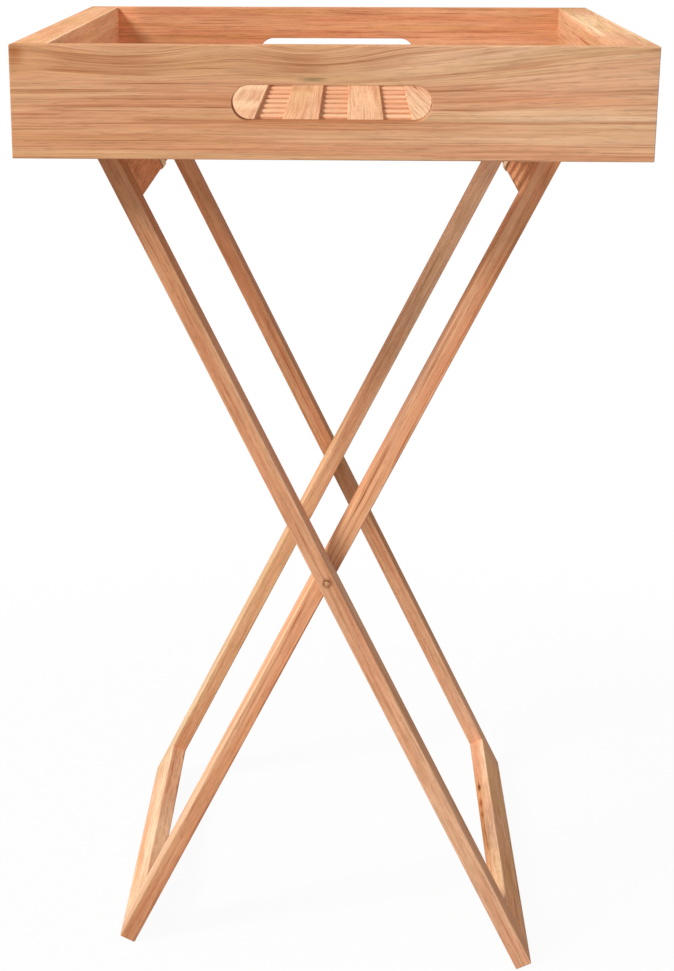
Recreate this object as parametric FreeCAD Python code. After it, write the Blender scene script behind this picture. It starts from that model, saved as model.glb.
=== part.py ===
import FreeCAD, Part
import math
import os

# A butler's tray on a folding stand, in millimetres.
# X runs along the tray's front, Y from front to back, Z up from the floor.
# The origin is on the floor, under the middle of the tray.

# Tray boards
TRAY_WIDTH = 400.0
TRAY_DEPTH = 400.0
TRAY_HEIGHT = 70.0
END_BOARD_THICKNESS = 12.0
SIDE_BOARD_THICKNESS = 23.0
BOARD_EASE = 0.6

# Hand slots, one in the middle of each end board
SLOT_LENGTH = 124.0
SLOT_HEIGHT = 22.0
SLOT_EASE = 0.5

# Dowels at the tray's corners, across each joint of end board and side board
CORNER_DOWEL_RADIUS = 4.0
CORNER_DOWEL_IN_SIDE = 22.0
CORNER_DOWEL_WALL = 4.0
CORNER_DOWEL_HEIGHT_SHARES = (0.35, 0.75)

# Upper floor layer, slats from front to back
FLOOR_SLAT_COUNT = 8
FLOOR_SLAT_WIDTH = 25.0
FLOOR_SLAT_THICKNESS = 3.0
FLOOR_SLAT_TENON = 4.0
FLOOR_SLAT_SHOULDER = 1.0

# Lower floor layer, slats from left to right
CROSS_SLAT_COUNT = 11
CROSS_SLAT_WIDTH = 17.0
CROSS_SLAT_THICKNESS = 5.0
CROSS_SLAT_TENON = 10.0

SLAT_EASE = 0.8
SLAT_CLEARANCE = 0.1

# How far the floor lies above the boards' lower edges, so that the tray drops over the stand's top
FLOOR_RECESS = 4.0

# Stand: two frames of legs and rails, crossing at a pivot
STAND_DEPTH = 336.0
LEG_LENGTH = 655.0
LEG_WIDTH = 24.0
LEG_THICKNESS = 12.0
LEG_EASE = 0.8
RAIL_HEIGHT = 38.0

# How far up the legs the pivot is
PIVOT_SHARE = 0.5

# How far the legs' top ends lie inside the tray's sides, which sets how the legs lean
LEG_TOP_INSET = 53.9

# Dowels in the joints of leg and rail
RAIL_DOWEL_RADIUS = 3.0
RAIL_DOWEL_IN_RAIL = 16.0
RAIL_DOWEL_WALL = 9.0
RAIL_DOWEL_HEIGHT_SHARES = (0.28, 0.72)

# Glue line round every dowel, and the space left at its ends
GLUE_LINE = 0.05
DOWEL_END_SPACE = 0.5

# Pivot pins, fast in the inner legs and turning in the outer legs
PIN_RADIUS = 2.0
PIN_RUNNING_CLEARANCE = 0.05
PIN_WALL = 6.0
PIN_DOME_RADIUS = 0.6
BORE_MOUTH = 0.7

# Washers between the crossing legs
WASHER_RADIUS = 5.0
WASHER_THICKNESS = 0.8
WASHER_CLEARANCE = 0.1

# Webbing strap, looped round both top rails
STRAP_WIDTH = 20.0
STRAP_THICKNESS = 0.8
STRAP_CLEARANCE = 0.3

# Space between the strap and the tray's floor that lies on it
REST_GAP = 0.3

# How far a cut runs past the surface that it opens
OVERRUN = 1.0

# Places worked out from the sizes above
PIVOT_FROM_FOOT = PIVOT_SHARE * LEG_LENGTH
TOP_FROM_PIVOT = LEG_LENGTH - PIVOT_FROM_FOOT
LEAN = math.asin((TRAY_WIDTH / 2 - LEG_TOP_INSET) / TOP_FROM_PIVOT)
CORNER_ACROSS = LEG_THICKNESS / 2 - LEG_EASE


def reach(length):
    """Height from the pivot to the eased corner of a leaning leg that ends at this length."""
    return (length - LEG_EASE) * math.cos(LEAN) + CORNER_ACROSS * math.sin(LEAN) + LEG_EASE


PIVOT_HEIGHT = reach(PIVOT_FROM_FOOT)
STAND_TOP = PIVOT_HEIGHT + reach(TOP_FROM_PIVOT)
STRAP_BOTTOM = STAND_TOP + STRAP_CLEARANCE
CROSS_BOTTOM = STRAP_BOTTOM + STRAP_THICKNESS + REST_GAP
TRAY_BOTTOM = CROSS_BOTTOM - FLOOR_RECESS
TRAY_TOP = TRAY_BOTTOM + TRAY_HEIGHT
TRAY_MIDDLE = TRAY_BOTTOM + TRAY_HEIGHT / 2
FLOOR_BOTTOM = CROSS_BOTTOM + CROSS_SLAT_THICKNESS
FLOOR_TOP = FLOOR_BOTTOM + FLOOR_SLAT_THICKNESS
TENON_TOP = FLOOR_TOP - FLOOR_SLAT_SHOULDER

INSIDE_X = TRAY_WIDTH / 2 - SIDE_BOARD_THICKNESS
INSIDE_Y = TRAY_DEPTH / 2 - END_BOARD_THICKNESS
FLOOR_SLAT_PITCH = 2 * INSIDE_X / FLOOR_SLAT_COUNT
CROSS_SLAT_GAP = (2 * INSIDE_Y - CROSS_SLAT_COUNT * CROSS_SLAT_WIDTH) / (CROSS_SLAT_COUNT + 1)
CROSS_SLAT_PITCH = CROSS_SLAT_WIDTH + CROSS_SLAT_GAP

PIVOT_GAP = WASHER_THICKNESS + 2 * WASHER_CLEARANCE
OUTER_LEG_FACE = STAND_DEPTH / 2
INNER_LEG_FACE = OUTER_LEG_FACE - LEG_WIDTH - PIVOT_GAP

# Which way a frame's top leans along X, and which end of the table a piece is at along Y
OUTER, INNER = -1, 1
FRONT, BACK = -1, 1
LEG_FACES = {OUTER: OUTER_LEG_FACE, INNER: INNER_LEG_FACE}


def block(low, high):
    """A box between two opposite corners, given in any order."""
    corner = [min(pair) for pair in zip(low, high)]
    size = [abs(a - b) for a, b in zip(low, high)]
    return Part.makeBox(*size, FreeCAD.Vector(*corner))


def rod(radius, start, end, x, z):
    """A round rod along Y from start to end."""
    base = FreeCAD.Vector(x, min(start, end), z)
    return Part.makeCylinder(radius, abs(end - start), base, FreeCAD.Vector(0, 1, 0))


def eased(shape, radius, along=None):
    """Round a box's edges: all of them, or only those along one axis, 0 to 2 for X to Z."""
    edges = []
    for edge in shape.Edges:
        run = edge.Vertexes[-1].Point - edge.Vertexes[0].Point
        if along is None or abs(run[along]) == max(abs(part) for part in run):
            edges.append(edge)
    return shape.makeFillet(radius, edges)


def grown(low, high, space):
    """The box between two corners with a space added on every side."""
    start = [min(pair) - space for pair in zip(low, high)]
    end = [max(pair) + space for pair in zip(low, high)]
    return block(start, end)


def leaning(shape, frame):
    """Turn a piece drawn upright about the origin to its frame's lean, and lift it to the pivot."""
    turned = shape.copy()
    turned.rotate(FreeCAD.Vector(), FreeCAD.Vector(0, 1, 0), frame * math.degrees(LEAN))
    turned.translate(FreeCAD.Vector(0, 0, PIVOT_HEIGHT))
    return turned


def save(shape, node):
    shape.exportStep(f"parts/{node}.step")


# Tray


def floor_slat_corners(number, top):
    """Opposite corners of one upper slat, cut off at a top height, with its tenons."""
    x = (number - (FLOOR_SLAT_COUNT - 1) / 2) * FLOOR_SLAT_PITCH
    y = INSIDE_Y + FLOOR_SLAT_TENON
    half = FLOOR_SLAT_WIDTH / 2
    return (x - half, -y, FLOOR_BOTTOM), (x + half, y, top)


def floor_slat(number):
    """One upper slat, stepped down at each end to the tenon that goes into the end board."""
    low, high = floor_slat_corners(number, FLOOR_TOP)
    steps = []
    for place in (FRONT, BACK):
        near = (low[0] - OVERRUN, place * (INSIDE_Y - SLAT_CLEARANCE), TENON_TOP)
        far = (high[0] + OVERRUN, place * (high[1] + OVERRUN), FLOOR_TOP + OVERRUN)
        steps.append(block(near, far))
    return eased(block(low, high), SLAT_EASE, along=1).cut(steps)


def cross_slat_corners(number):
    """Opposite corners of one lower slat, with its ends in the side boards."""
    y = (number - (CROSS_SLAT_COUNT - 1) / 2) * CROSS_SLAT_PITCH
    x = INSIDE_X + CROSS_SLAT_TENON
    half = CROSS_SLAT_WIDTH / 2
    return (-x, y - half, CROSS_BOTTOM), (x, y + half, FLOOR_BOTTOM)


def corner_dowels(space):
    """The dowels of the tray's corners, each with a space round it and at its ends."""
    end_space = DOWEL_END_SPACE if space else 0
    start = INSIDE_Y - CORNER_DOWEL_IN_SIDE - end_space
    end = TRAY_DEPTH / 2 - CORNER_DOWEL_WALL + end_space
    x = TRAY_WIDTH / 2 - SIDE_BOARD_THICKNESS / 2
    dowels = []
    for place in (FRONT, BACK):
        for side in (-1, 1):
            for share in CORNER_DOWEL_HEIGHT_SHARES:
                z = TRAY_BOTTOM + share * TRAY_HEIGHT
                dowels.append(rod(CORNER_DOWEL_RADIUS + space, place * start, place * end, side * x, z))
    return dowels


def hand_slot(place):
    """The cutter of an end board's hand slot, with round ends."""
    near = place * (INSIDE_Y - OVERRUN)
    far = place * (TRAY_DEPTH / 2 + OVERRUN)
    radius = SLOT_HEIGHT / 2
    straight = SLOT_LENGTH / 2 - radius
    cutter = block((-straight, near, TRAY_MIDDLE - radius), (straight, far, TRAY_MIDDLE + radius))
    for side in (-1, 1):
        cutter = cutter.fuse(rod(radius, near, far, side * straight, TRAY_MIDDLE))
    return cutter.removeSplitter()


def slot_rims(board):
    """The edges where a hand slot meets the two faces of its board."""
    rims = []
    for edge in board.Edges:
        box = edge.BoundBox
        in_slot = max(abs(box.XMin), abs(box.XMax)) < SLOT_LENGTH / 2 + OVERRUN
        in_height = abs(box.Center.z - TRAY_MIDDLE) < SLOT_HEIGHT / 2 + OVERRUN
        if in_slot and in_height and box.YLength < BOARD_EASE:
            rims.append(edge)
    return rims


def end_board(place):
    """The front or back board, with its hand slot, dowel holes and the floor slats' mortises."""
    half = TRAY_WIDTH / 2
    inner, outer = place * INSIDE_Y, place * TRAY_DEPTH / 2
    board = eased(block((-half, inner, TRAY_BOTTOM), (half, outer, TRAY_TOP)), BOARD_EASE)
    board = board.cut(hand_slot(place))
    board = board.makeFillet(SLOT_EASE, slot_rims(board))
    tenons = [floor_slat_corners(n, TENON_TOP) for n in range(FLOOR_SLAT_COUNT)]
    mortises = [grown(*corners, SLAT_CLEARANCE) for corners in tenons]
    return board.cut(mortises + corner_dowels(GLUE_LINE))


def side_board(side):
    """The left or right board, with its dowel holes and the cross slats' housings."""
    low = (side * INSIDE_X, -INSIDE_Y, TRAY_BOTTOM)
    high = (side * TRAY_WIDTH / 2, INSIDE_Y, TRAY_TOP)
    board = eased(block(low, high), BOARD_EASE, along=1)
    housings = [grown(*cross_slat_corners(n), SLAT_CLEARANCE) for n in range(CROSS_SLAT_COUNT)]
    return board.cut(housings + corner_dowels(GLUE_LINE))


def make_tray():
    save(end_board(FRONT), "front_board")
    save(end_board(BACK), "back_board")
    save(side_board(-1), "left_side_board")
    save(side_board(1), "right_side_board")
    for number in range(FLOOR_SLAT_COUNT):
        save(floor_slat(number), f"floor_slat_{number + 1}")
    for number in range(CROSS_SLAT_COUNT):
        save(eased(block(*cross_slat_corners(number)), SLAT_EASE, along=0), f"cross_slat_{number + 1}")
    save(Part.makeCompound(corner_dowels(0)), "tray_corner_dowels")


# Stand, drawn upright with the pivot at the origin, then leaned


def rail_span(level):
    """Bottom and top of a rail along its legs: level 1 is the top rail, -1 the bottom rail."""
    if level > 0:
        return TOP_FROM_PIVOT - RAIL_HEIGHT, TOP_FROM_PIVOT
    return -PIVOT_FROM_FOOT, RAIL_HEIGHT - PIVOT_FROM_FOOT


def rail_dowels(frame, space):
    """The dowels of one frame, each with a space round it and at its ends."""
    end_space = DOWEL_END_SPACE if space else 0
    start = LEG_FACES[frame] - LEG_WIDTH - RAIL_DOWEL_IN_RAIL - end_space
    end = LEG_FACES[frame] - RAIL_DOWEL_WALL + end_space
    dowels = []
    for place in (FRONT, BACK):
        for level in (-1, 1):
            bottom, top = rail_span(level)
            for share in RAIL_DOWEL_HEIGHT_SHARES:
                z = bottom + share * (top - bottom)
                dowels.append(rod(RAIL_DOWEL_RADIUS + space, place * start, place * end, 0, z))
    return dowels


def pin_ends(place):
    """Where a pivot pin starts in its inner leg and ends at the face of the outer leg."""
    return place * (INNER_LEG_FACE - LEG_WIDTH + PIN_WALL), place * OUTER_LEG_FACE


def pin_bore(frame, place):
    """The cutter of a leg's pivot hole: blind in an inner leg, with an eased mouth in an outer leg."""
    start, end = pin_ends(place)
    if frame == INNER:
        return rod(PIN_RADIUS + GLUE_LINE, start, end + place * OVERRUN, 0, 0)
    radius = PIN_RADIUS + PIN_RUNNING_CLEARANCE
    mouth_start = FreeCAD.Vector(0, end - place * BORE_MOUTH, 0)
    outward = FreeCAD.Vector(0, place, 0)
    mouth = Part.makeCone(radius, radius + BORE_MOUTH, BORE_MOUTH, mouth_start, outward)
    return rod(radius, start, end + place * OVERRUN, 0, 0).fuse(mouth)


def leg(frame, place):
    """One leg, with its pivot hole and its rails' dowel holes."""
    half = LEG_THICKNESS / 2
    outer = place * LEG_FACES[frame]
    inner = place * (LEG_FACES[frame] - LEG_WIDTH)
    post = eased(block((-half, inner, -PIVOT_FROM_FOOT), (half, outer, TOP_FROM_PIVOT)), LEG_EASE)
    return leaning(post.cut(rail_dowels(frame, GLUE_LINE) + [pin_bore(frame, place)]), frame)


def rail(frame, level):
    """A top or bottom rail between the legs of one frame, flush with their ends and faces."""
    half = LEG_THICKNESS / 2
    y = LEG_FACES[frame] - LEG_WIDTH
    bottom, top = rail_span(level)
    bar = eased(block((-half, -y, bottom), (half, y, top)), LEG_EASE, along=1)
    return leaning(bar.cut(rail_dowels(frame, GLUE_LINE)), frame)


def pivot_pin(place):
    """A plain pin with a rounded outer end, level with the face of the outer leg."""
    start, end = pin_ends(place)
    pin = rod(PIN_RADIUS, start, end, 0, 0)
    tip = [edge for edge in pin.Edges if (edge.CenterOfMass.y - end) * place > -PIN_DOME_RADIUS]
    return leaning(pin.makeFillet(PIN_DOME_RADIUS, tip), INNER)


def washer(place):
    """A flat ring round a pivot pin, in the gap between the crossing legs."""
    start = place * (INNER_LEG_FACE + WASHER_CLEARANCE)
    end = place * (INNER_LEG_FACE + WASHER_CLEARANCE + WASHER_THICKNESS)
    hole = rod(PIN_RADIUS + WASHER_CLEARANCE, start - place * OVERRUN, end + place * OVERRUN, 0, 0)
    return leaning(rod(WASHER_RADIUS, start, end, 0, 0).cut(hole), INNER)


def strap_ring(frame, space):
    """A bar round a top rail, larger than the rail by a space on every side, with the strap's width."""
    half = LEG_THICKNESS / 2 + space
    y = STRAP_WIDTH / 2
    bottom, top = rail_span(1)
    bar = block((-half, -y, bottom - space), (half, y, top + space))
    return leaning(eased(bar, LEG_EASE + space, along=1), frame)


def strap():
    """Webbing that lies flat between the top rails and goes once round each of them."""
    along = TOP_FROM_PIVOT - LEG_EASE
    x = along * math.sin(LEAN) - CORNER_ACROSS * math.cos(LEAN)
    y = STRAP_WIDTH / 2
    band = block((-x, -y, STRAP_BOTTOM), (x, y, STRAP_BOTTOM + STRAP_THICKNESS))
    for frame in (OUTER, INNER):
        band = band.fuse(strap_ring(frame, STRAP_CLEARANCE + STRAP_THICKNESS))
    return band.cut([strap_ring(frame, STRAP_CLEARANCE) for frame in (OUTER, INNER)])


def make_stand():
    for frame, name in ((OUTER, "outer"), (INNER, "inner")):
        save(leg(frame, FRONT), f"{name}_leg_front")
        save(leg(frame, BACK), f"{name}_leg_back")
        save(rail(frame, 1), f"{name}_top_rail")
        save(rail(frame, -1), f"{name}_bottom_rail")
        save(leaning(Part.makeCompound(rail_dowels(frame, 0)), frame), f"{name}_frame_dowels")
    for place, name in ((FRONT, "front"), (BACK, "back")):
        save(pivot_pin(place), f"pivot_pin_{name}")
        save(washer(place), f"pivot_washer_{name}")
    save(strap(), "strap")


os.makedirs("parts", exist_ok=True)
make_tray()
make_stand()
print(f"lean {math.degrees(LEAN):.3f} degrees, pivot height {PIVOT_HEIGHT:.3f}")
print(f"tray from {TRAY_BOTTOM:.3f} to {TRAY_TOP:.3f}")
print(f"floor top {FLOOR_TOP:.3f}, slat pitches {FLOOR_SLAT_PITCH:.3f} and {CROSS_SLAT_PITCH:.3f}")
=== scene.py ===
import math
import random
from collections import namedtuple

import bmesh
import bpy
from mathutils import Color, Matrix, Vector


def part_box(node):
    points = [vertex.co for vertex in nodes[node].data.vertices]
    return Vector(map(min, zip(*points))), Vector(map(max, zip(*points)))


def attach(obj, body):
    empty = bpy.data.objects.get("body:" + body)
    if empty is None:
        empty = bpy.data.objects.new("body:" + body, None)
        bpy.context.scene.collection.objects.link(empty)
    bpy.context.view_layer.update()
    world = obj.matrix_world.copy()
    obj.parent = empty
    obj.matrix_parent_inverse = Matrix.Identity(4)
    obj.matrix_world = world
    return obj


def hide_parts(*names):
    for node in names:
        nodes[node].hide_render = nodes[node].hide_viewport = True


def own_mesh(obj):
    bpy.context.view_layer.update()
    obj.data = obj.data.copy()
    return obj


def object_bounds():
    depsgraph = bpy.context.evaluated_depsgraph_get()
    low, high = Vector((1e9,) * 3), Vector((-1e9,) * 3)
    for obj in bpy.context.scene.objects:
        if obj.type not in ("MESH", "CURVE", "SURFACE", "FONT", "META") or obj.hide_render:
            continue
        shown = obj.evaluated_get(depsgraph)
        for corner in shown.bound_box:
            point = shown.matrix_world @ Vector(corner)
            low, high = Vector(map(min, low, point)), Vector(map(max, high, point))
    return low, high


# A butler's tray on a folding stand.
# Lengths are in metres, except those of the wood's figure, which are in millimetres. Angles are in radians.

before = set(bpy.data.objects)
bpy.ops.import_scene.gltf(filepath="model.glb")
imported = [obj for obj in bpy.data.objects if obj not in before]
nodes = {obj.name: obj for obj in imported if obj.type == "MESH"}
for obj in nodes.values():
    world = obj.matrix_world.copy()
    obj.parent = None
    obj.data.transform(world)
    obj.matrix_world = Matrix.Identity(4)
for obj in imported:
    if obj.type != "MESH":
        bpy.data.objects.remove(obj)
cad_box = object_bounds()

MM = 0.001
UP = Vector((0, 0, 1))
RIGHT = Vector((1, 0, 0))
BACK = Vector((0, 1, 0))

# Camera, fitted to the edges of the tray and the legs, with Blender's usual sensor in mm
IMAGE_WIDTH_PX = 674
IMAGE_HEIGHT_PX = 971
FOCAL_PX = 1923
OPTICAL_AXIS_PX = 260
CAMERA_PLACE = (0.0114, -1.4054, 0.7509)
CAMERA_PITCH = 0.3015
CAMERA_YAW = -0.0462
SENSOR = 36.0

# Lamp, fill and floor
KEY_DIRECTION = (-0.62, -0.44, 0.70)
KEY_DISTANCE = 5.0
KEY_SIZE = 1.6
KEY_LEVEL = 1.10
FILL_LEVEL = 0.5
FLOOR_RADIUS = 4.0
FLOOR_SIDES = 96
FLOOR_TONE = 0.6
FLOOR_NEAR = 0.3
FLOOR_FAR = 0.9
FLOOR_NEAR_WHITE_SHARE = 0.95

# Colours: the highest screen level, the power that turns shares of levels into shares of light, and white
SCREEN_WHITE = 255
SCREEN_POWER = 2.2
WHITE = (1, 1, 1, 1)

# Levels of noise: the middle one, and two ranges round it
MID_NOISE = 0.5
WIDE_NOISE = (0.2, 0.8)
NARROW_NOISE = (0.3, 0.7)

# Screen levels of the wood's tones, before a piece's tint
PLAIN_TONES = {
    "Pale": (235, 190, 150),
    "Deep": (178, 114, 76),
    "Rosy": (221, 157, 118),
    "Gold": (220, 176, 124),
}

# Parts of the wood's figure: the lengths of their lumps along the trunk and across it, and their detail
FIGURE = {
    "sweep": ((190, 60, 60), 1.0),
    "ripple": ((45, 8, 8), 2.0),
    "fading": ((42, 1, 1), 2.0),
    "band": ((160, 8, 1), 3.0),
    "warmth": ((110, 4.5, 1), 3.0),
    "streak": ((75, 1.7, 1.7), 4.0),
    "strand": ((48, 1.0, 1.0), 1.0),
    "fibre": ((38, 0.7, 0.7), 2.0),
    "thread": ((14, 0.4, 0.4), 2.0),
    "pore": ((5, 0.6, 0.6), 1.0),
    "mottle": ((13, 4, 4), 3.0),
    "cloud": ((70, 30, 30), 2.0),
    "ragged": ((120, 2.5, 2.5), 2.0),
}

# Levels of noise at which an effect sets in and is full, and its strength there
EFFECTS = {
    "lasting line": (0.40, 0.62, 1.0),
    "dark streak": (0.50, 0.74, 0.35),
    "dark strand": (0.60, 0.68, 0.40),
    "pale strand": (0.40, 0.33, 0.08),
    "rosy band": (0.42, 0.62, 0.65),
    "golden band": (0.48, 0.64, 0.70),
    "pore": (0.58, 0.68, 1.0),
    "webbing stain": (0.35, 0.70, 0.40),
}

# The dark line at the end of a year's ring: where it rises and falls, its strength, and how the years differ
LATE_RISE = (0.35, 0.9)
LATE_FALL = (1.0, 0.93)
LATE_DARKNESS = 0.62
FAINTEST_YEAR = 0.2
YEAR_DISTANCE = 7.3

# How far small ripples bend the rings
RIPPLE_BEND = 1.8

# How much parts of the figure change the lightness, and the lightness of end grain
LIGHTNESS = {"fibre": 0.45, "thread": 0.4, "mottle": 0.22, "cloud": 0.25}
PORE_SHADE = 0.16
END_FACING = (0.5, 1.0)
END_LIGHTNESS = 0.72

# Surface of the wood
WOOD_ROUGHNESS = 0.52
FIBRE_ROUGHNESS = 0.16
LATE_HEIGHT = 0.4
THREAD_HEIGHT = 0.6
WOOD_BUMP = 0.25
BUMP_DISTANCE = 0.0002

# Half length and half height of the hand slots, and the painted shade on their bottom walls
SLOT = (62, 11)
SLOT_SHADE_EDGE = 1
SLOT_SHADE_FACING = (0.6, 0.95)
SLOT_SHADE_SHARES = (0.88, 0.82, 0.78)

# Places on a piece, from its middle: where the wood has another tone or has painted light and shade, and
# where its rings bend across
StainAndPaintedLight = namedtuple("StainAndPaintedLight", "centre size shares")
Swell = namedtuple("Swell", "centre size shift")

# Sizes of a stain or of painted light that runs over the whole piece, and of one that stays on a face
WHOLE = 1000
FACE = 1.5

# Front board: the rings bend above the slot and at the right end
FRONT_BOARD_SWELLS = (
    Swell((-122, 34), (80, 28), 8),
    Swell((-12, 34), (62, 24), 7),
    Swell((240, 45), (270, 64), -20),
)
FRONT_BOARD_STAINS = (
    # Pale right half
    StainAndPaintedLight((150, 10), (190, 60), (1.085, 1.165, 1.23)),
    # Reddish bands in it and below the slot
    StainAndPaintedLight((150, 1), (150, 9), (0.97, 0.90, 0.86)),
    StainAndPaintedLight((-10, -14), (170, 5), (0.94, 0.87, 0.82)),
    # Small mark above the slot
    StainAndPaintedLight((-12, 14.5), (14, 2.2), (0.76, 0.80, 0.76)),
    # Dark lines
    StainAndPaintedLight((-113, 11.8), (38, 0.8), (0.82, 0.76, 0.70)),
    StainAndPaintedLight((-186, -7.4), (28, 0.9), (0.83, 0.78, 0.73)),
    StainAndPaintedLight((-75, 21), (30, 0.8), (0.84, 0.78, 0.73)),
    StainAndPaintedLight((-68, -2.6), (22, 0.8), (0.85, 0.79, 0.74)),
    StainAndPaintedLight((100, 8), (80, 0.8), (0.86, 0.78, 0.72)),
    # Dark upper left corner
    StainAndPaintedLight((-197, 30), (10, 10), (0.86, 0.76, 0.68)),
)

# Back board: pale right half, and painted light on the left end, where the inner corner lies in shade
BACK_BOARD_STAINS_AND_PAINTED_LIGHT = (
    StainAndPaintedLight((130, 0), (190, 80), (1.05, 1.08, 1.11)),
    # Painted light that lifts the shade in the left inner corner
    StainAndPaintedLight((-177, 0), (24, 80), (1.2, 1.2, 1.2)),
)

# Ranges from which a slat's place along its trunk and its ways from the pith are drawn
SEED = 12
SLAT_START = (0, 9000)
SLAT_SIDE = (-12, 12)
SLAT_DEPTH = (14, 40)

# Upper slats: their tint, the two that are paler, and the one whose grain slopes left towards the back
SLAT_TINT = (0.985, 0.955, 0.945)
PALE_SLATS = {"floor_slat_3": (1.02, 1.04, 1.065), "floor_slat_6": (0.995, 1.005, 1.025)}
SLAT_GRAIN = {"spacing": 3.6, "wander": 10, "contrast": 0.8, "length": 3.0}
SLOPING_SLAT = "floor_slat_6"
SLOPING_GRAIN = {"spacing": 4.2, "wander": 6, "contrast": 1.6, "length": 3.0, "golden": 0.3}
SLOPE = 0.065

# Lower slats, with painted shade on their front faces
CROSS_SLAT_TINT = (1.02, 1.015, 1.03)
CROSS_SLAT_FRONT_SHADE = (0.93, 0.87, 0.83)

# Grain that the pieces of a kind share
LEG_GRAIN = {"spacing": 2.9, "wander": 5}
DOWEL_GRAIN = {"spacing": 3.0, "wander": 3, "contrast": 0.7}
DOWEL_STARTS = {"tray_corner_dowels": 500, "outer_frame_dowels": 900, "inner_frame_dowels": 1200}

# Metal of the pins and washers, with its colours in screen levels
PIN_LEVELS = (206, 152, 112)
PIN_ROUGHNESS = 0.4
WASHER_LEVELS = (190, 188, 184)
WASHER_ROUGHNESS = 0.3
SCRATCH_LENGTHS = (0.004, 0.0002, 0.0002)
SCRATCH_ROUGHNESS = 0.2
DULL_LENGTHS = (0.003, 0.003, 0.003)
DULL_SHARE = 0.7

# Look of the webbing, with its colours in screen levels; the low and high levels are painted shade in the
# weave's hollows and painted light on its raised threads
WARP_PITCH = 0.0013
WEFT_PITCH = 0.0016
WEBBING_LOW_LEVELS = (236, 196, 152)
WEBBING_HIGH_LEVELS = (252, 224, 186)
WEBBING_STAIN_LEVELS = (238, 202, 160)
WEBBING_STAIN_LENGTHS = (0.03, 0.02, 0.03)
FUZZ_LENGTHS = (0.0006, 0.0006, 0.0006)
FUZZ_DETAIL = 3.0
FUZZ_HEIGHT = 0.5
WEBBING_BUMP = 0.5
WEBBING_ROUGHNESS = (0.75, 0.95)
WEBBING_SHEEN = 0.25

# Shape of the strap
STRAP_WIDTH = 0.020
STRAP_GAP = 0.0003
STRAP_THICKNESS = 0.0008
STRAP_RIBS = 8
STRAP_RIB_DEPTH = 0.00012
STRAP_STEPS_PER_RIB = 4
STRAP_STEP = 0.002
STRAP_CORNER_STEPS = 6
RAIL_EASE = 0.0008
NEARLY_UP = 0.99


def srgb(levels):
    """Linear colour of three screen levels."""
    color = Color(levels) / SCREEN_WHITE
    return (*color.from_srgb_to_scene_linear(), 1.0)


def factor(shares):
    """Linear colour that multiplies screen levels by about these shares."""
    return (*(share ** SCREEN_POWER for share in shares), 1.0)


def middle(node):
    """The middle of a CAD piece's box."""
    low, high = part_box(node)
    return (low + high) / 2


def reach(node, direction):
    """Least and greatest distance of a CAD piece along a direction."""
    distances = [vertex.co.dot(direction) for vertex in nodes[node].data.vertices]
    return min(distances), max(distances)


def half(node, direction):
    """Half of a CAD piece's size along a direction, in mm."""
    low, high = reach(node, direction)
    return (high - low) / 2 / MM


def frame_direction(name):
    """The direction of a stand frame's legs, from its bottom rail to its top rail."""
    return (middle(f"{name}_top_rail") - middle(f"{name}_bottom_rail")).normalized()


def add_object(name, data):
    """A new object in the scene."""
    made = bpy.data.objects.new(name, data)
    bpy.context.scene.collection.objects.link(made)
    return made


class Graph:
    """A node tree, emptied, with short ways to add nodes and link them."""

    def __init__(self, tree):
        self.tree = tree
        tree.nodes.clear()

    def give(self, node, inputs):
        """Set a node's inputs. Each is a value, or another node's socket to link."""
        for key, value in dict(inputs).items():
            if isinstance(value, bpy.types.NodeSocket):
                self.tree.links.new(value, node.inputs[key])
            else:
                node.inputs[key].default_value = value

    def add(self, kind, inputs=(), **settings):
        """A new node with its settings and inputs."""
        made = self.tree.nodes.new(kind)
        for name, value in settings.items():
            setattr(made, name, value)
        self.give(made, inputs)
        return made

    def math(self, operation, *values):
        """The result of a calculation with numbers."""
        return self.add("ShaderNodeMath", enumerate(values), operation=operation).outputs[0]

    def vector(self, operation, *values, scale=None):
        """The result of a calculation with vectors."""
        inputs = dict(enumerate(values))
        if scale is not None:
            inputs["Scale"] = scale
        made = self.add("ShaderNodeVectorMath", inputs, operation=operation)
        return made.outputs["Value" if operation in ("LENGTH", "DOT_PRODUCT") else "Vector"]

    def split(self, place):
        """The three parts of a vector, by name."""
        return self.add("ShaderNodeSeparateXYZ", {0: place}).outputs

    def combine(self, *parts):
        """A vector of up to three parts."""
        return self.add("ShaderNodeCombineXYZ", enumerate(parts)).outputs[0]

    def noise(self, place, lengths, detail=2.0, output="Fac"):
        """Noise whose lumps have these lengths along the three axes."""
        scaled = self.vector("MULTIPLY", place, [1 / length for length in lengths])
        inputs = {"Vector": scaled, "Scale": 1.0, "Detail": detail}
        return self.add("ShaderNodeTexNoise", inputs).outputs[output]

    def span(self, value, low, high, start=0.0, end=1.0):
        """The value taken smoothly from a range to another."""
        inputs = {"Value": value, "From Min": low, "From Max": high, "To Min": start, "To Max": end}
        return self.add("ShaderNodeMapRange", inputs, interpolation_type="SMOOTHSTEP").outputs["Result"]

    def effect(self, name, noise):
        """The strength of an effect at a level of noise."""
        start, full, strength = EFFECTS[name]
        return self.span(noise, start, full, 0.0, strength)

    def mix(self, share, first, second, blend="MIX"):
        """Two colours mixed."""
        # The node has sockets of the same names for each type of data, so those for colours go by number
        inputs = {0: share, 6: first, 7: second}
        made = self.add("ShaderNodeMix", inputs, data_type="RGBA", blend_type=blend)
        return made.outputs[2]

    def bump(self, strength, height):
        """The normal of a surface with small heights."""
        inputs = {"Strength": strength, "Distance": BUMP_DISTANCE, "Height": height}
        return self.add("ShaderNodeBump", inputs).outputs[0]

    def end_mixed(self, kind, share, first, second):
        """End the graph with two shaders mixed."""
        both = self.add("ShaderNodeMixShader", {0: share, 1: first.outputs[0], 2: second.outputs[0]})
        self.add(kind, {"Surface": both.outputs[0]})


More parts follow.
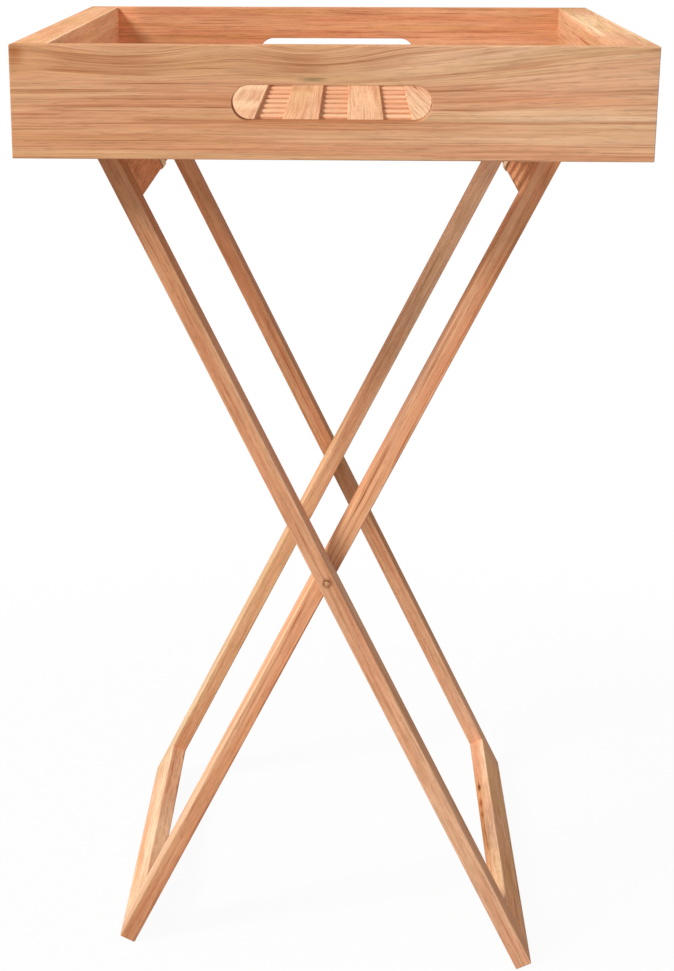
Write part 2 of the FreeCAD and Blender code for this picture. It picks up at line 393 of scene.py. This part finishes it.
def empty_material(name):
    """A material with its empty graph."""
    material = bpy.data.materials.new(name)
    material.use_nodes = True
    return material, Graph(material.node_tree)


def new_material(name):
    """A material with its graph and the shader that ends it."""
    material, graph = empty_material(name)
    shader = graph.add("ShaderNodeBsdfPrincipled")
    graph.add("ShaderNodeOutputMaterial", {"Surface": shader.outputs["BSDF"]})
    return material, graph, shader


def dress(node, material):
    """Put one material on the whole of a CAD piece."""
    slots = nodes[node].data.materials
    slots.clear()
    slots.append(material)


def figure(graph, name, place, output="Fac"):
    """Noise of one part of the wood's figure."""
    return graph.noise(place, *FIGURE[name], output)


def hardwood_sockets(group):
    """The inputs and outputs of the hardwood."""
    inputs = {"Place": "NodeSocketVector"}
    inputs.update(dict.fromkeys(("End", "Spacing", "Wander", "Contrast", "Golden"), "NodeSocketFloat"))
    inputs.update(dict.fromkeys(PLAIN_TONES, "NodeSocketColor"))
    outputs = {"Color": "NodeSocketColor", "Roughness": "NodeSocketFloat", "Height": "NodeSocketFloat"}
    for way, sockets in (("INPUT", inputs), ("OUTPUT", outputs)):
        for name, kind in sockets.items():
            group.interface.new_socket(name, in_out=way, socket_type=kind)


def bent_place(graph, place, wander):
    """The place in a trunk whose rings wander, in long sweeps and small ripples."""
    sweep = graph.vector("SUBTRACT", figure(graph, "sweep", place, "Color"), (MID_NOISE,) * 3)
    sweep = graph.vector("SCALE", sweep, scale=wander)
    across = Vector((0, RIPPLE_BEND, RIPPLE_BEND))
    ripple = figure(graph, "ripple", place, "Color")
    ripple = graph.vector("MULTIPLY_ADD", ripple, across, -MID_NOISE * across)
    return graph.vector("ADD", place, graph.vector("ADD", sweep, ripple))


def late_lines(graph, along, radius, spacing):
    """The dark line at the end of each year, stronger in some years and fading here and there."""
    years = graph.math("DIVIDE", radius, spacing)
    season = graph.math("FRACT", years)
    year = graph.math("FLOOR", years)
    strength = graph.add("ShaderNodeTexWhiteNoise", {"W": year}, noise_dimensions="1D").outputs["Value"]
    year_place = graph.combine(along, graph.math("MULTIPLY", year, YEAR_DISTANCE))
    lasting = graph.effect("lasting line", figure(graph, "fading", year_place))
    late = graph.math("MULTIPLY", graph.span(season, *LATE_RISE), graph.span(season, *LATE_FALL))
    late = graph.math("MULTIPLY", late, graph.span(strength, 0.0, 1.0, FAINTEST_YEAR, 1.0))
    return graph.math("MULTIPLY", late, lasting)


def hardwood_group():
    """Sawn hardwood at a place in mm, with the grain along X and the pith on X."""
    group = bpy.data.node_groups.new("hardwood", "ShaderNodeTree")
    hardwood_sockets(group)
    graph = Graph(group)
    given = graph.add("NodeGroupInput").outputs
    place = given["Place"]
    along = graph.split(place)["X"]
    bent = bent_place(graph, place, given["Wander"])
    radius = graph.vector("LENGTH", graph.vector("MULTIPLY", bent, (0, 1, 1)))
    late = late_lines(graph, along, radius, given["Spacing"])
    parts = {name: figure(graph, name, bent) for name in ("streak", "strand", "fibre", "thread", "mottle")}
    parts["cloud"] = figure(graph, "cloud", place)
    pore = graph.effect("pore", figure(graph, "pore", bent))

    # Broad bands of tone follow the rings
    ring_place = graph.combine(along, radius)
    rosy = graph.effect("rosy band", figure(graph, "band", ring_place))
    color = graph.mix(rosy, given["Pale"], given["Rosy"])
    golden = graph.effect("golden band", figure(graph, "warmth", ring_place))
    color = graph.mix(graph.math("MULTIPLY", golden, given["Golden"]), color, given["Gold"])

    # Late lines, streaks and strands are dark
    dark = graph.math("MULTIPLY_ADD", late, LATE_DARKNESS, graph.effect("dark streak", parts["streak"]))
    dark = graph.math("ADD", dark, graph.effect("dark strand", parts["strand"]))
    color = graph.mix(graph.math("MULTIPLY", dark, given["Contrast"]), color, given["Deep"])

    # Pale strands, fibres, a mottle, pores and end grain change the lightness
    light = graph.math("ADD", 1.0, graph.effect("pale strand", parts["strand"]))
    for name, weight in LIGHTNESS.items():
        light = graph.math("MULTIPLY_ADD", graph.math("SUBTRACT", parts[name], MID_NOISE), weight, light)
    light = graph.math("SUBTRACT", light, graph.math("MULTIPLY", pore, PORE_SHADE))
    light = graph.math("MULTIPLY", light, graph.span(given["End"], *END_FACING, 1.0, END_LIGHTNESS))
    color = graph.mix(1.0, color, graph.combine(light, light, light), "MULTIPLY")

    rough = graph.math("MULTIPLY_ADD", parts["fibre"], FIBRE_ROUGHNESS, WOOD_ROUGHNESS)
    height = graph.math("MULTIPLY", parts["thread"], THREAD_HEIGHT)
    height = graph.math("MULTIPLY_ADD", late, LATE_HEIGHT, height)
    height = graph.math("SUBTRACT", height, pore)
    graph.add("NodeGroupOutput", {"Color": color, "Roughness": rough, "Height": height})
    return group


HARDWOOD = hardwood_group()


def patch(graph, spot, centre, size):
    """1 at the centre of a patch, falling smoothly to 0 at an ellipse. A size left out has no end."""
    endless = (0,) * (3 - len(size))
    away = graph.vector("SUBTRACT", spot, (*centre, *endless))
    away = graph.vector("MULTIPLY", away, (*(1 / length for length in size), *endless))
    return graph.span(graph.vector("LENGTH", away), 1.0, 0.0)


def local_place(graph, spot, node, along, across):
    """The place in mm from a piece's middle: along the grain, across it and through."""
    turn = Matrix((along, across, along.cross(across)))
    inputs = {"Vector": spot, "Location": -(turn @ middle(node)) / MM, "Rotation": turn.to_euler(),
              "Scale": (1 / MM,) * 3}
    return graph.add("ShaderNodeMapping", inputs).outputs[0]


def swollen(graph, place, local, swells):
    """The place in the trunk, shifted across where the rings bend."""
    for swell in swells:
        share = patch(graph, local, swell.centre, swell.size)
        place = graph.vector("ADD", place, graph.vector("SCALE", (0, swell.shift, 0), scale=share))
    return place


def stained_and_painted(graph, color, place, local, stains_and_painted_light):
    """The colour with stains and with painted light and shade, whose edges are ragged along the grain."""
    ragged = graph.math("SUBTRACT", figure(graph, "ragged", place), MID_NOISE)
    for mark in stains_and_painted_light:
        edge = graph.vector("SCALE", (0, min(mark.size), 0), scale=ragged)
        share = patch(graph, graph.vector("ADD", local, edge), mark.centre, mark.size)
        color = graph.mix(share, color, factor(mark.shares), "MULTIPLY")
    return color


def slot_wall_shaded(graph, color, local, normal, half_sizes):
    """The colour, with painted shade on the bottom wall of a slot."""
    parts = graph.split(graph.vector("ABSOLUTE", local))
    inside = [graph.span(parts[axis], edge + SLOT_SHADE_EDGE, edge) for axis, edge in zip("XY", half_sizes)]
    upward = graph.span(graph.split(normal)["Z"], *SLOT_SHADE_FACING)
    wall = graph.math("MULTIPLY", graph.math("MULTIPLY", *inside), upward)
    return graph.mix(wall, color, factor(SLOT_SHADE_SHARES), "MULTIPLY")


def wood(node, along, across, start, pith, tint, spacing, wander, contrast=1.0, length=1.0, golden=1.0,
         swells=(), stains_and_painted_light=(), shaded_slot=None):
    """Give a piece its wood.

    along and across: the direction of the grain, and one square to it.
    start and pith: the piece's place along the trunk, and the way from the pith to its middle.
    tint: shares of the plain tones.
    spacing and wander: the width of a ring, and how far the rings wander.
    contrast and golden: strengths of the dark lines and of the golden bands.
    length: how many times longer than usual the figure is along the grain.
    swells and stains_and_painted_light: places where the rings bend, and where the tone differs through
    stains and through painted light and shade.
    shaded_slot: half length and half height of a slot whose bottom wall gets painted shade.
    """
    material, graph, shader = new_material(f"{node}_wood")
    spot = graph.add("ShaderNodeTexCoord").outputs
    local = local_place(graph, spot["Object"], node, along, across)
    place = swollen(graph, graph.vector("ADD", local, (start, *pith)), local, swells)
    place = graph.vector("MULTIPLY", place, (1 / length, 1, 1))
    end = graph.math("ABSOLUTE", graph.vector("DOT_PRODUCT", spot["Normal"], along))
    inputs = {"Place": place, "End": end, "Spacing": spacing, "Wander": wander, "Contrast": contrast,
              "Golden": golden}
    for name, levels in PLAIN_TONES.items():
        inputs[name] = srgb([level * share for level, share in zip(levels, tint)])
    grain = graph.add("ShaderNodeGroup", inputs, node_tree=HARDWOOD).outputs
    color = stained_and_painted(graph, grain["Color"], place, local, stains_and_painted_light)
    # Painted shade on the bottom wall of the slot
    if shaded_slot:
        color = slot_wall_shaded(graph, color, local, spot["Normal"], shaded_slot)
    graph.give(shader, {"Base Color": color, "Roughness": grain["Roughness"], "Specular IOR Level": 0.0,
                        "Normal": graph.bump(WOOD_BUMP, grain["Height"])})
    dress(node, material)


def dress_boards():
    """The tray's four boards. The left one has painted light on its shaded inner face, and the right one a
    painted highlight on its top edge.
    """
    # Painted light on the left board's inner face, which lies in shade
    inner_face_painted_light = StainAndPaintedLight((0, 0, half("left_side_board", RIGHT)), (WHOLE, WHOLE, 2), (1.16, 1.21, 1.26))
    # Painted highlight on the right board's lit top edge
    top_edge_painted_highlight = StainAndPaintedLight((0, half("right_side_board", UP)), (260, 7), (1.13, 1.23, 1.29))
    wood("front_board", RIGHT, UP, start=300, pith=(-28, 30), tint=(0.89, 0.838, 0.803), spacing=2.7,
         wander=9, length=2.4, golden=0.65, swells=FRONT_BOARD_SWELLS, stains_and_painted_light=FRONT_BOARD_STAINS, shaded_slot=SLOT)
    wood("back_board", RIGHT, UP, start=1400, pith=(20, 40), tint=(0.887, 0.807, 0.765), spacing=3.0,
         wander=7, contrast=1.1, length=1.5, stains_and_painted_light=BACK_BOARD_STAINS_AND_PAINTED_LIGHT, shaded_slot=SLOT)
    wood("left_side_board", BACK, UP, start=2300, pith=(30, 40), tint=(0.95, 0.91, 0.885), spacing=3.4,
         wander=8, contrast=0.6, length=1.6, stains_and_painted_light=(inner_face_painted_light,))
    wood("right_side_board", BACK, UP, start=3100, pith=(34, 46), tint=(0.92, 0.88, 0.86), spacing=3.4,
         wander=8, contrast=0.9, length=1.6, stains_and_painted_light=(top_edge_painted_highlight,))


def dress_slats():
    """The two layers of the tray's floor. Every node draws a place in turn, and the slats use theirs."""
    random.seed(SEED)
    for node in sorted(nodes):
        start = random.uniform(*SLAT_START)
        pith = (random.uniform(*SLAT_SIDE), random.uniform(*SLAT_DEPTH))
        if node.startswith("floor_slat"):
            sloping = node == SLOPING_SLAT
            along = (BACK - SLOPE * RIGHT).normalized() if sloping else BACK
            grain = SLOPING_GRAIN if sloping else SLAT_GRAIN
            wood(node, along, along.cross(UP), start, pith, PALE_SLATS.get(node, SLAT_TINT), **grain)
        if node.startswith("cross_slat"):
            # Painted shade on the lower slat's front face, where little light reaches between the slats
            front = StainAndPaintedLight((0, -half(node, BACK)), (WHOLE, FACE), CROSS_SLAT_FRONT_SHADE)
            wood(node, RIGHT, BACK, start, pith, CROSS_SLAT_TINT, spacing=3.0, wander=5, contrast=0.4,
                 golden=0.1, stains_and_painted_light=(front,))


def dress_outer_frame():
    """The frame with its top rail on the left."""
    lean = frame_direction("outer")
    front = -half("outer_leg_front", BACK)
    edge = half("outer_bottom_rail", lean)
    # Places, through the wood, of the faces that look up and to the right
    rail_face = half("outer_bottom_rail", BACK.cross(lean))
    leg_face = -rail_face
    front_leg_stains_and_painted_light = (
        # Painted light on the lower part, and painted shade of the tray on the upper part
        StainAndPaintedLight((-330, 0), (450, 300), (1.07, 1.13, 1.19)),
        StainAndPaintedLight((330, 0), (250, 300), (0.93, 0.905, 0.885)),
        # Painted light on the upper narrow face that looks up and to the right, which lies in shade
        StainAndPaintedLight((120, 0, leg_face), (270, WHOLE, FACE), (1.08, 1.16, 1.26)),
        # Painted shade round the pin, where the mouth of its hole lies in shade
        StainAndPaintedLight((0.5, front, -0.6), (5.4, 5.4, 5.4), (0.56, 0.47, 0.40)),
    )
    back_leg_stains_and_painted_light = (
        # Painted light on the lower part and on the narrow face that looks up and to the right, which lies
        # in shade
        StainAndPaintedLight((-330, 0), (330, 300), (1.14, 1.22, 1.32)),
        StainAndPaintedLight((180, 0, leg_face), (270, WHOLE, FACE), (1.09, 1.18, 1.30)),
    )
    bottom_rail_stains_and_painted_light = (
        # Painted highlight on the lit upper corner, and a paler broad face
        StainAndPaintedLight((0, edge, rail_face), (WHOLE, 4, 9), (1.03, 1.10, 1.16)),
        StainAndPaintedLight((0, 0, rail_face), (WHOLE, WHOLE, FACE), (1.06, 1.05, 1.03)),
        # Reddish patch on the upper edge, with three knots
        StainAndPaintedLight((0, edge, -5), (150, 6, 5), (0.95, 0.85, 0.74)),
        StainAndPaintedLight((56, edge, -2.8), (11, 6, 2.2), (0.50, 0.36, 0.28)),
        StainAndPaintedLight((28, edge, -3.2), (12, 6, 2.2), (0.74, 0.60, 0.48)),
        StainAndPaintedLight((8, edge, -3.5), (9, 6, 1.8), (0.80, 0.66, 0.54)),
    )
    wood("outer_leg_front", lean, BACK, start=4100, pith=(40, 36), tint=(0.90, 0.825, 0.79), contrast=0.7,
         golden=0.4, stains_and_painted_light=front_leg_stains_and_painted_light, **LEG_GRAIN)
    wood("outer_leg_back", lean, BACK, start=5200, pith=(30, 44), tint=(0.855, 0.77, 0.715), contrast=0.7,
         golden=0.4, stains_and_painted_light=back_leg_stains_and_painted_light, **LEG_GRAIN)
    wood("outer_top_rail", BACK, lean, start=6300, pith=(6, 30), tint=(0.99, 0.91, 0.87), spacing=3.0,
         wander=6)
    wood("outer_bottom_rail", BACK, lean, start=7400, pith=(-12, 36), tint=(0.955, 0.925, 0.92), spacing=3.2,
         wander=6, stains_and_painted_light=bottom_rail_stains_and_painted_light)


def dress_inner_frame():
    """The frame with its top rail on the right."""
    lean = frame_direction("inner")
    front = -half("inner_leg_front", BACK)
    # Places, through the wood, of the faces that look up and to the left
    leg_face = half("inner_bottom_rail", BACK.cross(lean))
    rail_face = -leg_face
    # Painted highlight on the lower part of the narrow face that looks up and to the left, where the light
    # falls
    lit_face_painted_highlight = StainAndPaintedLight((-290, 0, leg_face), (400, WHOLE, FACE), (1.02, 1.15, 1.25))
    front_leg_stains_and_painted_light = (
        # Dark lower front, and a dark part of the narrow face above the pivot
        StainAndPaintedLight((-330, front), (260, 8), (0.90, 0.87, 0.845)),
        StainAndPaintedLight((150, 0, leg_face), (110, WHOLE, FACE), (0.80, 0.82, 0.87)),
        # Painted highlight on the lit narrow face
        lit_face_painted_highlight,
    )
    back_leg_stains_and_painted_light = (
        # Pale upper part
        StainAndPaintedLight((330, 0), (420, 300), (1.06, 1.12, 1.22)),
        # Painted highlight on the lit narrow face
        lit_face_painted_highlight,
    )
    bottom_rail_stains_and_painted_light = (
        # Painted highlight on the broad face that looks up and to the left, and a reddish band
        StainAndPaintedLight((0, 0, rail_face), (WHOLE, WHOLE, FACE), (1.01, 1.075, 1.11)),
        StainAndPaintedLight((-45, -8, rail_face), (115, 7, 6), (1.0, 0.88, 0.78)),
    )
    wood("inner_leg_front", lean, BACK, start=8300, pith=(50, 40), tint=(0.96, 0.89, 0.855), contrast=1.1,
         length=1.5, golden=0.5, stains_and_painted_light=front_leg_stains_and_painted_light, **LEG_GRAIN)
    wood("inner_leg_back", lean, BACK, start=9300, pith=(28, 52), tint=(0.92, 0.865, 0.815), contrast=0.7,
         golden=0.6, stains_and_painted_light=back_leg_stains_and_painted_light, **LEG_GRAIN)
    wood("inner_top_rail", BACK, lean, start=10500, pith=(10, 26), tint=(0.93, 0.85, 0.80), spacing=4.0,
         wander=6, contrast=1.3, length=2.0)
    wood("inner_bottom_rail", BACK, lean, start=11200, pith=(14, 42), tint=(0.98, 0.97, 0.98), spacing=3.2,
         wander=6, golden=0.5, stains_and_painted_light=bottom_rail_stains_and_painted_light)


def dress_dowels():
    """The dowels of the tray and of the two frames."""
    for node, start in DOWEL_STARTS.items():
        wood(node, BACK, RIGHT, start, pith=(10, 10), tint=(1, 1, 1), **DOWEL_GRAIN)


def metal(name, levels, roughness):
    """Drawn metal with fine scratches and dull places."""
    material, graph, shader = new_material(name)
    spot = graph.add("ShaderNodeTexCoord").outputs["Object"]
    color = srgb(levels)
    dull_color = (*(DULL_SHARE * part for part in color[:3]), 1.0)
    dull = graph.span(graph.noise(spot, DULL_LENGTHS), *NARROW_NOISE)
    scratch = graph.noise(spot, SCRATCH_LENGTHS)
    rough = graph.span(scratch, *WIDE_NOISE, roughness, roughness + SCRATCH_ROUGHNESS)
    color = graph.mix(dull, color, dull_color)
    graph.give(shader, {"Base Color": color, "Roughness": rough, "Metallic": 1.0})
    return material


def dress_pivots():
    """The pins and the washers between the crossing legs."""
    for place in ("front", "back"):
        dress(f"pivot_pin_{place}", metal(f"pin_{place}", PIN_LEVELS, PIN_ROUGHNESS))
        dress(f"pivot_washer_{place}", metal(f"washer_{place}", WASHER_LEVELS, WASHER_ROUGHNESS))


def webbing_material():
    """Undyed cotton webbing: warp threads along it and weft across."""
    material, graph, shader = new_material("cotton_webbing")
    spot = graph.add("ShaderNodeTexCoord").outputs["Object"]
    parts = graph.split(spot)
    onward = graph.math("ADD", parts["X"], parts["Z"])
    warp = graph.math("SINE", graph.math("MULTIPLY", parts["Y"], 2 * math.pi / WARP_PITCH))
    weft = graph.math("SINE", graph.math("MULTIPLY", onward, 2 * math.pi / WEFT_PITCH))
    weave = graph.math("MULTIPLY", warp, weft)
    fuzz = graph.noise(spot, FUZZ_LENGTHS, FUZZ_DETAIL)
    # Painted shade in the weave's hollows and painted light on its raised threads
    color = graph.mix(graph.span(weave, -1.0, 1.0), srgb(WEBBING_LOW_LEVELS), srgb(WEBBING_HIGH_LEVELS))
    mark = graph.effect("webbing stain", graph.noise(spot, WEBBING_STAIN_LENGTHS))
    color = graph.mix(mark, color, srgb(WEBBING_STAIN_LEVELS))
    height = graph.math("MULTIPLY_ADD", fuzz, FUZZ_HEIGHT, weave)
    rough = graph.span(fuzz, *WIDE_NOISE, *WEBBING_ROUGHNESS)
    graph.give(shader, {"Base Color": color, "Roughness": rough, "Sheen Weight": WEBBING_SHEEN,
                        "Normal": graph.bump(WEBBING_BUMP, height)})
    return material


def rounded_loop(rail, lean, gap):
    """Points and outward directions round a rail's section, with round corners."""
    normal = BACK.cross(lean)
    sides = reach(rail, normal)
    edges = reach(rail, lean)
    loop = []
    # The corners in turn, each at the low (0) or the high (1) side and edge
    for quarter, (side, edge) in enumerate(((1, 1), (0, 1), (0, 0), (1, 0))):
        inset_side = sides[side] + RAIL_EASE * (1 - 2 * side)
        inset_edge = edges[edge] + RAIL_EASE * (1 - 2 * edge)
        centre = normal * inset_side + lean * inset_edge
        for step in range(STRAP_CORNER_STEPS + 1):
            turn = (quarter + step / STRAP_CORNER_STEPS) * math.pi / 2
            outward = normal * math.cos(turn) + lean * math.sin(turn)
            loop.append((centre + outward * (RAIL_EASE + gap), outward))
    return loop


def evenly(path, closed):
    """The path with points added, so that its long steps become about as long as the strap's step."""
    dense = []
    ends = path[1:] + (path[:1] if closed else [])
    for (point, outward), (next_point, next_outward) in zip(path, ends):
        steps = max(1, round((next_point - point).length / STRAP_STEP))
        for step in range(steps):
            share = step / steps
            dense.append((point.lerp(next_point, share), outward.lerp(next_outward, share).normalized()))
    if not closed:
        dense.append(path[-1])
    return dense


def webbing(name, path, closed, material):
    """A ribbed band along a path of points and outward directions in the XZ plane."""
    columns = STRAP_RIBS * STRAP_STEPS_PER_RIB
    mesh = bmesh.new()
    inner, outer = [], []
    for point, outward in path:
        inner.append([])
        outer.append([])
        for column in range(columns + 1):
            share = column / columns
            aside = point + BACK * STRAP_WIDTH * (share - 0.5)
            rib = STRAP_RIB_DEPTH * math.sin(share * STRAP_RIBS * math.pi) ** 2
            inner[-1].append(mesh.verts.new(aside + outward * (STRAP_RIB_DEPTH - rib)))
            outer[-1].append(mesh.verts.new(aside + outward * (STRAP_THICKNESS - STRAP_RIB_DEPTH + rib)))

    def face(*corners):
        """A face between corners, each given by its side, row and column."""
        mesh.faces.new([side[row][column] for side, row, column in corners])

    count = len(path)
    for row in range(count if closed else count - 1):
        after = (row + 1) % count
        for column in range(columns):
            beside = column + 1
            face((outer, row, column), (outer, row, beside), (outer, after, beside), (outer, after, column))
            face((inner, row, column), (inner, after, column), (inner, after, beside), (inner, row, beside))
        for column in (0, columns):
            face((outer, row, column), (outer, after, column), (inner, after, column), (inner, row, column))
    if not closed:
        for row in (0, -1):
            for column in range(columns):
                beside = column + 1
                face((outer, row, column), (inner, row, column), (inner, row, beside), (outer, row, beside))
    bmesh.ops.recalc_face_normals(mesh, faces=mesh.faces)
    data = bpy.data.meshes.new(name)
    mesh.to_mesh(data)
    mesh.free()
    for polygon in data.polygons:
        polygon.use_smooth = True
    data.materials.append(material)
    piece = add_object(name, data)
    return piece


def strap_loop(name, material):
    """The strap's loop round a frame's top rail. Its path is handed back."""
    rail = f"{name}_top_rail"
    path = evenly(rounded_loop(rail, frame_direction(name), STRAP_GAP), True)
    loop = webbing(f"strap_loop_{name}", path, True, material)
    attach(loop, f"{name}_frame")
    if name == "outer":
        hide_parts("strap")
    return path


def make_strap():
    """One band of webbing: a loop round each top rail, and the span that holds the frames together."""
    material = webbing_material()
    strap_loop("outer", material)
    inner_path = strap_loop("inner", material)
    # The span ends where the inner loop starts to lie level on top of its rail
    end = min(point.x for point, outward in inner_path if outward.z > NEARLY_UP)
    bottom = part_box("strap")[1].z - STRAP_THICKNESS
    span_path = [(Vector((-end, 0, bottom)), UP), (Vector((end, 0, bottom)), UP)]
    span = webbing("strap_span", evenly(span_path, False), False, material)
    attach(span, "outer_frame")
    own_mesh(span)


def make_camera():
    """The photograph's camera. Its sensor spans the picture's longer side, the height."""
    data = bpy.data.cameras.new("camera")
    data.sensor_width = SENSOR
    data.lens = FOCAL_PX * SENSOR / IMAGE_HEIGHT_PX
    data.shift_x = (IMAGE_WIDTH_PX / 2 - OPTICAL_AXIS_PX) / IMAGE_HEIGHT_PX
    camera = add_object("camera", data)
    camera.location = CAMERA_PLACE
    camera.rotation_euler = (math.pi / 2 - CAMERA_PITCH, 0, -CAMERA_YAW)
    bpy.context.scene.camera = camera


def make_lamp():
    """A soft lamp from the upper left."""
    light = bpy.data.lights.new("key", "AREA")
    light.shape = "DISK"
    light.size = KEY_SIZE
    # The power at which a white surface that faces the lamp reflects the level
    light.energy = KEY_LEVEL * (math.pi * KEY_DISTANCE) ** 2
    direction = Vector(KEY_DIRECTION).normalized()
    aim = sum(cad_box, Vector()) / 2
    lamp = add_object("key", light)
    lamp.location = aim + direction * KEY_DISTANCE
    lamp.rotation_euler = direction.to_track_quat("Z", "Y").to_euler()


def seen_directly(graph):
    """1 for rays that show the background: from the camera, in a reflection or through a clear body."""
    path = graph.add("ShaderNodeLightPath").outputs
    mirrored = graph.math("MAXIMUM", path["Is Glossy Ray"], path["Is Transmission Ray"])
    return graph.math("MAXIMUM", path["Is Camera Ray"], mirrored)


def make_world():
    """An even fill, which is white where it is seen directly."""
    world = bpy.data.worlds.new("studio")
    world.use_nodes = True
    graph = Graph(world.node_tree)
    fill = graph.add("ShaderNodeBackground", {"Color": WHITE, "Strength": FILL_LEVEL})
    white = graph.add("ShaderNodeBackground", {"Color": WHITE, "Strength": 1.0})
    graph.end_mixed("ShaderNodeOutputWorld", seen_directly(graph), fill, white)
    bpy.context.scene.world = world


def make_floor():
    """A white floor that takes a faint shadow near the table."""
    material, graph = empty_material("floor_white")
    paper = graph.add("ShaderNodeBsdfDiffuse", {"Color": (FLOOR_TONE, FLOOR_TONE, FLOOR_TONE, 1)})
    glow = graph.add("ShaderNodeEmission", {"Color": WHITE, "Strength": 1.0})
    away = graph.vector("LENGTH", graph.add("ShaderNodeTexCoord").outputs["Object"])
    white_share = graph.span(away, FLOOR_NEAR, FLOOR_FAR, FLOOR_NEAR_WHITE_SHARE, 1.0)
    white_share = graph.math("MULTIPLY", seen_directly(graph), white_share)
    graph.end_mixed("ShaderNodeOutputMaterial", white_share, paper, glow)
    disk = bmesh.new()
    bmesh.ops.create_circle(disk, cap_ends=True, segments=FLOOR_SIDES, radius=FLOOR_RADIUS)
    data = bpy.data.meshes.new("floor")
    disk.to_mesh(data)
    disk.free()
    data.materials.append(material)
    floor = add_object("floor", data)


dress_boards()
dress_slats()
dress_outer_frame()
dress_inner_frame()
dress_dowels()
dress_pivots()
make_strap()
make_camera()
make_lamp()
make_world()
make_floor()
bpy.context.scene.view_settings.view_transform = "Standard"
